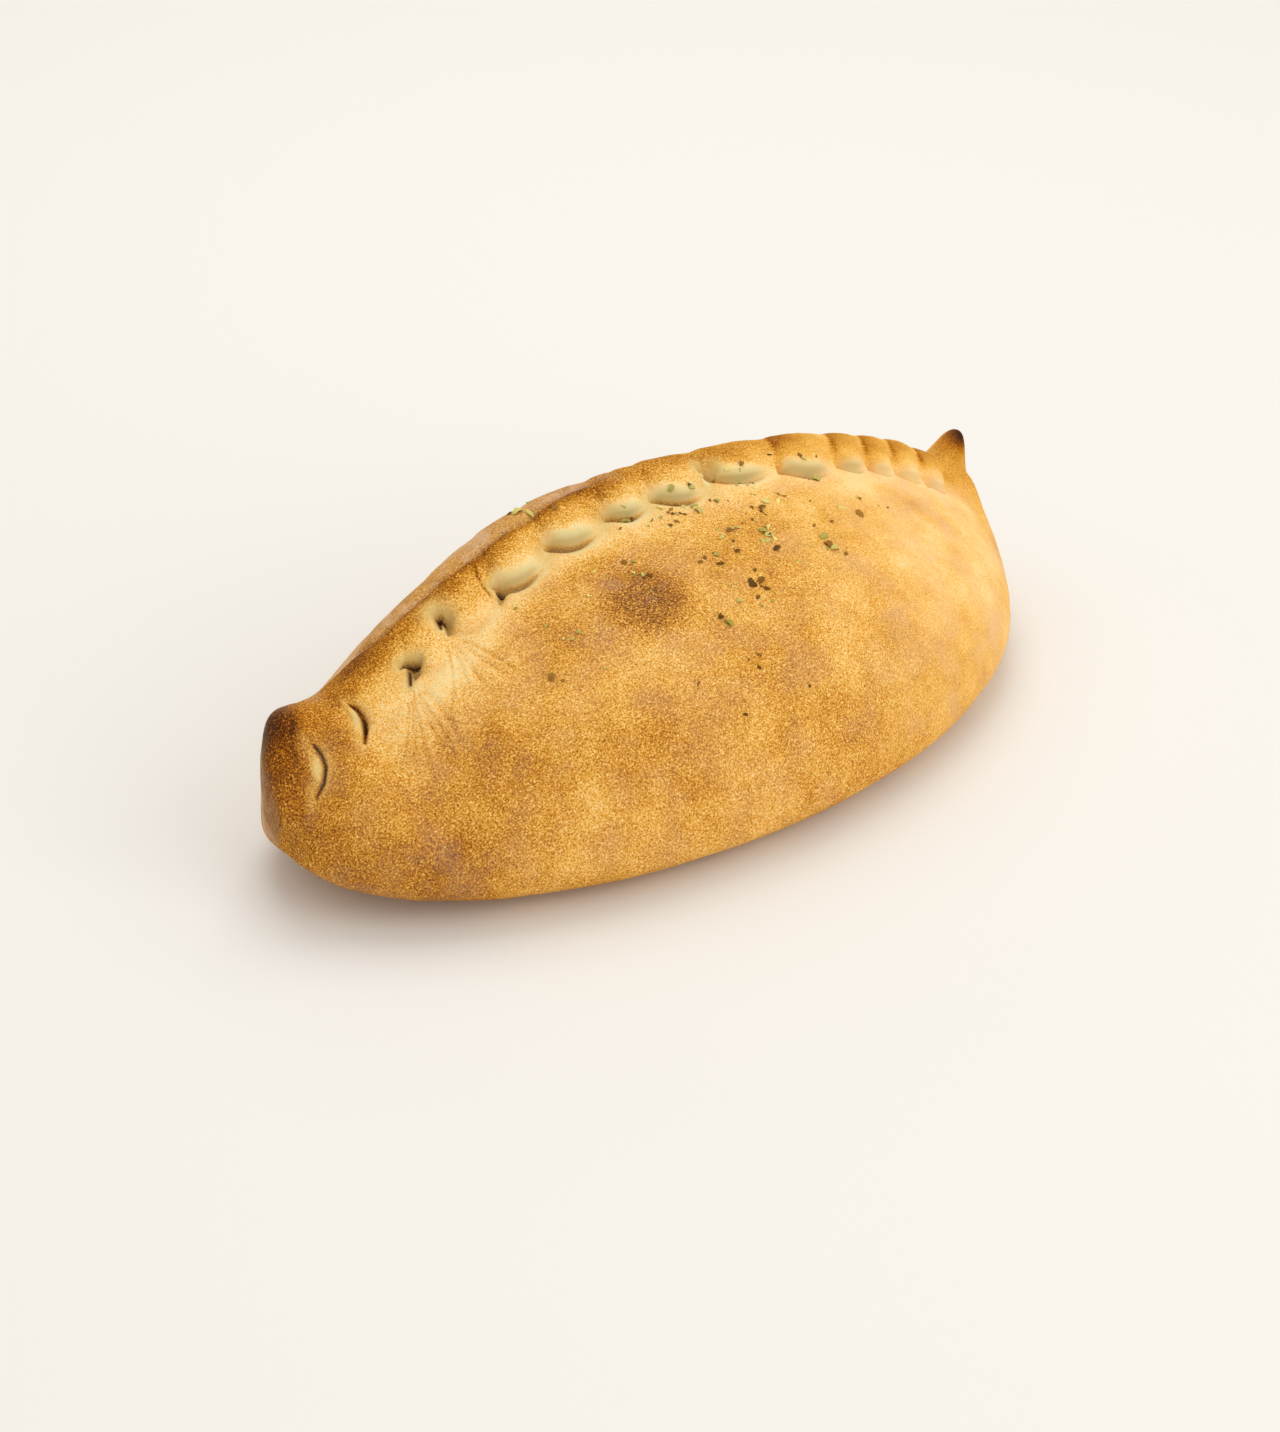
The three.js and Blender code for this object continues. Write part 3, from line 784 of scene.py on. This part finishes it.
brushed = rope_fade(x) * (1 - smoothstep(down, 10, 17))
for spot in BRUSHED_ENDS:
    brushed = np.maximum(brushed, bell(np.linalg.norm(skin - np.array(spot), axis=2), BRUSHED_RADIUS))
floury = (0.3 + 0.5 * smoothstep(x, 10, 110)) * (1 - brushed)
floury += 0.4 * on_blister(x, below)
floury = lerp(floury, 1.4, behind_hem)
pale = np.clip(raw_and_shade + (1 - smoothstep(heat, 0.1, 0.4)), 0, 1)
grainy = np.clip(1 - 0.6 * smoothstep(x, 10, 90) - 0.6 * pale, 0.15, 1)
grainy += 0.5 * on_blister(x, below)
attributes = {"bake": heat, "raw_and_shade": raw_and_shade, "floury": floury, "grainy": grainy}
for name, values in attributes.items():
    print(name, "is", values.mean().round(2), "on average")

# %% [markdown]
# ## Dough: the mesh
#
# Now the sheet itself. The grid primitive comes with its points in rows. Each point's place on the flat sheet
# says which row and column it is, and the point moves to its place on the skin. Merging by distance then
# closes the wrap under the base and the fans at the tips.

# %% The sheet, wrapped
select_only()
bpy.ops.mesh.primitive_grid_add(x_subdivisions=ROWS, y_subdivisions=COLUMNS, size=2)
dough = bpy.context.object
dough.name = "dough"
flat = np.empty(len(dough.data.vertices) * 3)
dough.data.vertices.foreach_get("co", flat)
flat = flat.reshape(-1, 3)
row_of = np.rint((flat[:, 0] + 1) / 2 * ROWS).astype(int)
column_of = np.rint((flat[:, 1] + 1) / 2 * COLUMNS).astype(int)
placed = (skin[row_of, column_of] + SEAM_TO_MIDDLE) * MM
dough.data.vertices.foreach_set("co", placed.ravel())
for name, values in attributes.items():
    layer = dough.data.attributes.new(name, "FLOAT", "POINT")
    layer.data.foreach_set("value", values[row_of, column_of].astype(np.float32))
dough.data.update()
print(dough.name, "is wrapped from", len(placed), "points")

# %% The sheet, closed
SAME_POINT = 0.0005 * MM

bpy.ops.object.mode_set(mode="EDIT")
bpy.ops.mesh.select_all(action="SELECT")
bpy.ops.mesh.remove_doubles(threshold=SAME_POINT)
bpy.ops.mesh.normals_make_consistent(inside=False)
bpy.ops.object.mode_set(mode="OBJECT")
bpy.ops.object.shade_smooth()
report(dough)
faces_per_edge = np.bincount([loop.edge_index for loop in dough.data.loops])
print("open edges left:", int((faces_per_edge == 1).sum()))

# %% [markdown]
# ## Materials
#
# Colours are named as sRGB hex values, as a colour picker shows them, and turned to the linear values that
# shaders work in. One function adds a node: settings are its own fields, and an input is either a value or
# another node's output to link. Inputs go by name, or by number where a node has several of one name: a
# Mix of colours takes its share at 0 and the two colours at 6 and 7.

# %% Helpers for materials
def linear(hex_colour):
    channels = [int(hex_colour[i : i + 2], 16) / 255 for i in (1, 3, 5)]
    return tuple(c / 12.92 if c <= 0.04045 else ((c + 0.055) / 1.055) ** 2.4 for c in channels) + (1.0,)


def add(tree, kind, inputs=(), **settings):
    node = tree.nodes.new("ShaderNode" + kind)
    for name, value in settings.items():
        setattr(node, name, value)
    for socket, value in dict(inputs).items():
        if isinstance(value, bpy.types.NodeSocket):
            tree.links.new(value, node.inputs[socket])
        else:
            node.inputs[socket].default_value = value
    return node


def new_material(name):
    material = bpy.data.materials.new(name)
    material.use_nodes = True
    tree = material.node_tree
    return material, tree, tree.nodes["Principled BSDF"]


# %% [markdown]
# ## Baked crust
#
# Crust is starch and sugar that browned in a dry oven. Its skin is matt, with a fine grain of semolina and
# tiny dried bubbles under one millimetre wide, and it lets a little light in where it is pale. Browning goes
# from cream over yellow, gold and toast to black, always in that order, so one ramp of colours driven by
# `bake` gives every tone; its dark end also gives the painted shade in creases, slits and fold bottoms. Noise
# shifts `bake` a little: broad clouds, blotches, the grain and pale specks.

# %% Baked crust: patterns
# Each has a size in millimetres and a detail. Real semolina grain is 0.3 mm wide. It is drawn at 0.5 mm, so
# that it still shows from the table.
PATTERNS = {
    "clouds": (28, 3),
    "blotches": (9, 3),
    "grain": (0.5, 2),
    "dust": (14, 4),
    "pores": (2.4, 2),
}
SPECK_SIZE = 0.9

crust, tree, crust_shader = new_material("baked_crust")
place = add(tree, "TexCoord").outputs["Object"]
here = {name: add(tree, "Attribute", attribute_name=name).outputs["Fac"] for name in attributes}
pattern = {}
for name, (size, detail) in PATTERNS.items():
    inputs = {"Vector": place, "Scale": 1 / (size * MM), "Detail": detail, "Roughness": 0.6}
    pattern[name] = add(tree, "TexNoise", inputs).outputs["Fac"]
cells = add(tree, "TexVoronoi", {"Vector": place, "Scale": 1 / (SPECK_SIZE * MM)}, feature="F1")
inputs = {"Value": cells.outputs["Distance"], "From Min": 0.4, "From Max": 0.15, "To Max": 1}
speck = add(tree, "MapRange", inputs).outputs[0]
print("patterns:", ", ".join(pattern))

# %% Baked crust: browning
BAKE_COLOURS = [
    (0.00, "#f2e8c4"),
    (0.18, "#ecd89c"),
    (0.34, "#f3cd88"),
    (0.42, "#eeb75c"),
    (0.50, "#dba03e"),
    (0.62, "#b47212"),
    (0.74, "#824608"),
    (0.86, "#482406"),
    (1.00, "#221006"),
]

baked = here["bake"]
for name, strength in (("clouds", 0.32), ("blotches", 0.2)):
    shift = add(tree, "Math", {0: pattern[name], 1: 0.5}, operation="SUBTRACT").outputs[0]
    baked = add(tree, "Math", {0: shift, 1: strength, 2: baked}, operation="MULTIPLY_ADD").outputs[0]
grain_shift = add(tree, "Math", {0: pattern["grain"], 1: 0.53}, operation="SUBTRACT").outputs[0]
for fine_shift, strength in ((grain_shift, 0.8), (speck, -0.14)):
    shift = add(tree, "Math", {0: fine_shift, 1: here["grainy"]}, operation="MULTIPLY").outputs[0]
    baked = add(tree, "Math", {0: shift, 1: strength, 2: baked}, operation="MULTIPLY_ADD").outputs[0]

ramp = add(tree, "ValToRGB", {"Fac": baked})
ramp.color_ramp.interpolation = "LINEAR"
while len(ramp.color_ramp.elements) < len(BAKE_COLOURS):
    ramp.color_ramp.elements.new(0.5)
for element, (position, colour) in zip(ramp.color_ramp.elements, BAKE_COLOURS):
    element.position = position
    element.color = linear(colour)
print(len(ramp.color_ramp.elements), "tones from raw to charred")

# %% Baked crust: flour, and raw dough with painted shade
PINK_FLOUR = "#e8bf98"
# The grey-green of raw dough in shade. Mixed in by the raw mask, it is painted shade under and between the
# folds, in creases, round cuts and behind the crest, and the pale of dough that the heat missed.
RAW_DOUGH_IN_SHADE = "#beb078"
RAW_AND_SHADE_STRENGTH = 0.75

inputs = {"Value": pattern["dust"], "From Min": 0.45, "From Max": 0.7, "To Min": 0.1, "To Max": 0.7}
dust = add(tree, "MapRange", inputs).outputs[0]
dusted = add(tree, "Math", {0: dust, 1: here["floury"]}, operation="MULTIPLY").outputs[0]
inputs = {0: dusted, 6: ramp.outputs["Color"], 7: linear(PINK_FLOUR)}
floured = add(tree, "Mix", inputs, data_type="RGBA").outputs[2]
raw_and_shade_share = add(tree, "Math", {0: here["raw_and_shade"], 1: RAW_AND_SHADE_STRENGTH}, operation="MULTIPLY").outputs[0]
inputs = {0: raw_and_shade_share, 6: floured, 7: linear(RAW_DOUGH_IN_SHADE)}
coloured = add(tree, "Mix", inputs, data_type="RGBA").outputs[2]
tree.links.new(coloured, crust_shader.inputs["Base Color"])
print("flour", PINK_FLOUR, "and raw dough", RAW_DOUGH_IN_SHADE)

# %% Baked crust: surface
# Toasted crust is a little smoother than pale crust. The grain and the pores are bumps of 0.4 mm.
BUMP_HEIGHT = 0.4 * MM

inputs = {"Value": baked, "From Min": 0.3, "From Max": 0.9, "To Min": 0.85, "To Max": 0.75}
rough = add(tree, "MapRange", inputs).outputs[0]
fine = add(tree, "Math", {0: pattern["grain"], 1: here["grainy"]}, operation="MULTIPLY").outputs[0]
bump = add(tree, "Bump", {"Height": fine, "Strength": 0.6, "Distance": BUMP_HEIGHT}).outputs[0]
inputs = {"Height": pattern["pores"], "Strength": 0.35, "Distance": BUMP_HEIGHT, "Normal": bump}
bump = add(tree, "Bump", inputs).outputs[0]
tree.links.new(rough, crust_shader.inputs["Roughness"])
tree.links.new(bump, crust_shader.inputs["Normal"])
crust_shader.inputs["Specular IOR Level"].default_value = 0.08
crust_shader.inputs["Subsurface Weight"].default_value = 0.08
crust_shader.inputs["Subsurface Radius"].default_value = (1.0, 0.5, 0.2)
crust_shader.inputs["Subsurface Scale"].default_value = 2 * MM
dough.data.materials.append(crust)
print("baked crust:", len(tree.nodes), "nodes")

# %% [markdown]
# ## Floor
#
# A plain matt tabletop in warm white. It is stage, not part of the food, but it throws light up under the
# dough.

# %% Floor's material
floor_paint, tree, floor_shader = new_material("matt_white_table")
floor_shader.inputs["Base Color"].default_value = linear("#e9e6e0")
floor_shader.inputs["Roughness"].default_value = 0.6
floor.data.materials.append(floor_paint)
print("floor:", floor_paint.name)

# %% [markdown]
# ## Dried herbs
#
# Dried oregano is leaf that was rubbed to shards: thin, curled, 1 to 3 mm long. Some shards are still green
# and some went brown in the oven. A shard starts as a small grid, narrowed at its ends, curled across and
# bent along, and Solidify gives it the thickness of a leaf. It has few faces, because it is repeated many
# times. It is modelled one metre long, and each copy is scaled down to its own length.

# %% One herb shard
SHARD_WIDTH, SHARD_THICKNESS = 0.6, 0.06


def new_shard(name, curl, bend, taper):
    """A curled leaf shard, one metre long, lying flat."""
    select_only()
    bpy.ops.mesh.primitive_grid_add(x_subdivisions=4, y_subdivisions=2, size=1)
    shard = bpy.context.object
    shard.name = name
    for vertex in shard.data.vertices:
        along, across, _ = vertex.co
        across *= SHARD_WIDTH * (1 - taper * abs(2 * along) ** 1.6)
        vertex.co = (along, across + 0.08 * math.sin(5 * along), curl * across**2 * 4 + bend * along**2)
    bpy.ops.object.modifier_add(type="SOLIDIFY")
    shard.modifiers[-1].thickness = SHARD_THICKNESS
    bpy.ops.object.modifier_apply(modifier=shard.modifiers[-1].name)
    bpy.ops.object.shade_smooth()
    return shard


SHARDS = [
    new_shard("herb_leaf", curl=0.5, bend=0.25, taper=0.6),
    new_shard("herb_roll", curl=1.1, bend=-0.1, taper=0.35),
    new_shard("herb_chip", curl=-0.4, bend=0.5, taper=0.8),
]
for shard in SHARDS:
    report(shard)

# %% [markdown]
# The shards lie where they fell. The largest ones have a rule that the solid model shares: patches on the
# belly, and a stream of numbers that is the same on every run. Each shard drops straight down onto the skin
# and turns to lie on it, a little tilted, so that one edge sinks in.

# %% Where the herbs fell
# Each patch has a place, how far it spreads and how many shards it has. Most are on the belly, some in the
# creases, and the last one is behind the crest.
HERB_PATCHES = [
    (26, -33, 5, 7),
    (8, -34, 4, 3),
    (10, -46, 5, 4),
    (39, -19, 5, 5),
    (44, -39, 5, 4),
    (61, -28, 6, 3),
    (6, -12, 4, 3),
    (18, -26, 3, 2),
    (-18, -28, 5, 2),
    (-8, -60, 9, 2),
    (-50, -33, 8, 2),
    (-5, -9, 2, 2),
    (15, -10, 4, 5),
    (39, -7, 3, 3),
    (60, -11, 4, 4),
    (-28, 11, 12, 4),
]
SHARD_LENGTH = (1.5, 3.2)
HERB_SEED = 7
print(len(HERB_PATCHES), "patches of herbs")


# %% The stream of numbers
def number_stream(seed):
    """Numbers from 0 to 1 by Lehmer's rule, the same in every language."""
    state = seed
    while True:
        state = state * 16807 % 2147483647
        yield state / 2147483647


stream = number_stream(HERB_SEED)


def spread_number():
    """A number round 0, more often small than large."""
    return next(stream) + next(stream) + next(stream) - 1.5


places = []
for patch_x, patch_y, spread, shards in HERB_PATCHES:
    for _ in range(shards):
        places.append((patch_x + spread * spread_number(), patch_y + spread * spread_number()))
falls = [(*spot, lerp(*SHARD_LENGTH, next(stream)), next(stream) * math.tau) for spot in places]
print(len(falls), "large shards")

# %% Laying a shard
DROP_FROM = 0.2
REST_HEIGHT = 0.12 * MM

tree_of_skin = BVHTree.FromObject(dough, bpy.context.evaluated_depsgraph_get())
crumbs = random.Random(11)


def lay_shard(model, herb_x, herb_y, length, turn, name):
    """A copy of a shard, with a mesh of its own, lying where it fell on the skin."""
    above = Vector(((herb_x + SEAM_TO_MIDDLE[0]) * MM, (herb_y + SEAM_TO_MIDDLE[1]) * MM, DROP_FROM))
    spot, facing, _, _ = tree_of_skin.ray_cast(above, Vector((0, 0, -1)))
    laid = model.copy()
    laid.data = model.data.copy()
    laid.name = name
    bpy.context.scene.collection.objects.link(laid)
    lie = facing.to_track_quat("Z", "X").to_matrix() @ Euler((0, 0, turn)).to_matrix()
    tilt = Euler((crumbs.uniform(-0.35, 0.35), crumbs.uniform(-0.25, 0.25), 0)).to_matrix()
    moved = Matrix.Translation(spot + facing * REST_HEIGHT) @ (lie @ tilt).to_4x4()
    laid.data.transform(moved @ Matrix.Scale(length * MM, 4))
    shade = laid.data.attributes.new("shade", "FLOAT", "POINT")
    tone = crumbs.random()
    shade.data.foreach_set("value", [tone] * len(laid.data.vertices))
    return laid


# %% Herbs on the dough
BROWN_SHARDS, BROWN_CRUMBS = 0.35, 0.55  # the share of each that the oven browned
CRUMB_COUNT = 90
CRUMB_LENGTH = (0.8, 1.9)
CRUMB_SPREAD = 1.1

green, brown = [], []
for number, (herb_x, herb_y, length, turn) in enumerate(falls):
    kind = brown if crumbs.random() < BROWN_SHARDS else green
    kind.append(lay_shard(crumbs.choice(SHARDS), herb_x, herb_y, length, turn, f"shard_{number}"))
# Smaller crumbs lie between the large shards and past them.
for number in range(CRUMB_COUNT):
    patch_x, patch_y, spread, _ = HERB_PATCHES[crumbs.randrange(len(HERB_PATCHES))]
    herb_x = patch_x + crumbs.gauss(0, CRUMB_SPREAD * spread)
    herb_y = patch_y + crumbs.gauss(0, CRUMB_SPREAD * spread)
    kind = brown if crumbs.random() < BROWN_CRUMBS else green
    model = crumbs.choice(SHARDS)
    length = crumbs.uniform(*CRUMB_LENGTH)
    turn = crumbs.uniform(0, 6.28)
    kind.append(lay_shard(model, herb_x, herb_y, length, turn, f"crumb_{number}"))
print(len(green), "green and", len(brown), "brown")


# %% Herbs joined
def join_pieces(pieces, name):
    select_only(*pieces)
    bpy.ops.object.join()
    joined = bpy.context.object
    joined.name = name
    joined.data.name = name
    report(joined)
    return joined


herbs_green = join_pieces(green, "herbs_green")
herbs_brown = join_pieces(brown, "herbs_brown")
for shard in SHARDS:
    bpy.data.objects.remove(shard)

# %% [markdown]
# ## Herb materials
#
# Dried leaf is matt, and mottled by its veins. Each shard has its own tone, kept as an attribute, from olive
# to straw for the green ones and from dark brown to tan for the toasted ones.

# %% Herbs' materials
# Leaf veins are 0.1 mm apart. They are drawn as mottling 0.5 mm wide, so that it shows.
MOTTLE_SIZE = 0.5


def dried_leaf(name, dark, light):
    material, tree, shader = new_material(name)
    shade = add(tree, "Attribute", attribute_name="shade").outputs["Fac"]
    place = add(tree, "TexCoord").outputs["Object"]
    inputs = {"Vector": place, "Scale": 1 / (MOTTLE_SIZE * MM), "Detail": 1}
    mottle = add(tree, "TexNoise", inputs).outputs["Fac"]
    tone = add(tree, "Math", {0: mottle, 1: 0.5, 2: shade}, operation="MULTIPLY_ADD").outputs[0]
    tone = add(tree, "Math", {0: tone, 1: 0.25}, operation="SUBTRACT").outputs[0]
    inputs = {0: tone, 6: linear(dark), 7: linear(light)}
    colour = add(tree, "Mix", inputs, data_type="RGBA").outputs[2]
    bump = add(tree, "Bump", {"Height": mottle, "Strength": 0.4, "Distance": 0.1 * MM}).outputs[0]
    tree.links.new(colour, shader.inputs["Base Color"])
    tree.links.new(bump, shader.inputs["Normal"])
    shader.inputs["Roughness"].default_value = 0.8
    shader.inputs["Specular IOR Level"].default_value = 0.15
    return material


LEAVES = [
    (herbs_green, "dried_oregano_green", "#9a8e30", "#ece088"),
    (herbs_brown, "dried_oregano_toasted", "#5e3e14", "#a8762e"),
]
for herbs, name, dark, light in LEAVES:
    herbs.data.materials.clear()
    herbs.data.materials.append(dried_leaf(name, dark, light))
    print(herbs.name, "is", name)

# %% [markdown]
# ## Finish
#
# The three pieces stand for the one solid of the imported model, and ride on its one body.

# %% Ride, replace and finish
for piece in (dough, herbs_green, herbs_brown):
    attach(piece, "root")
    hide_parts("calzone")
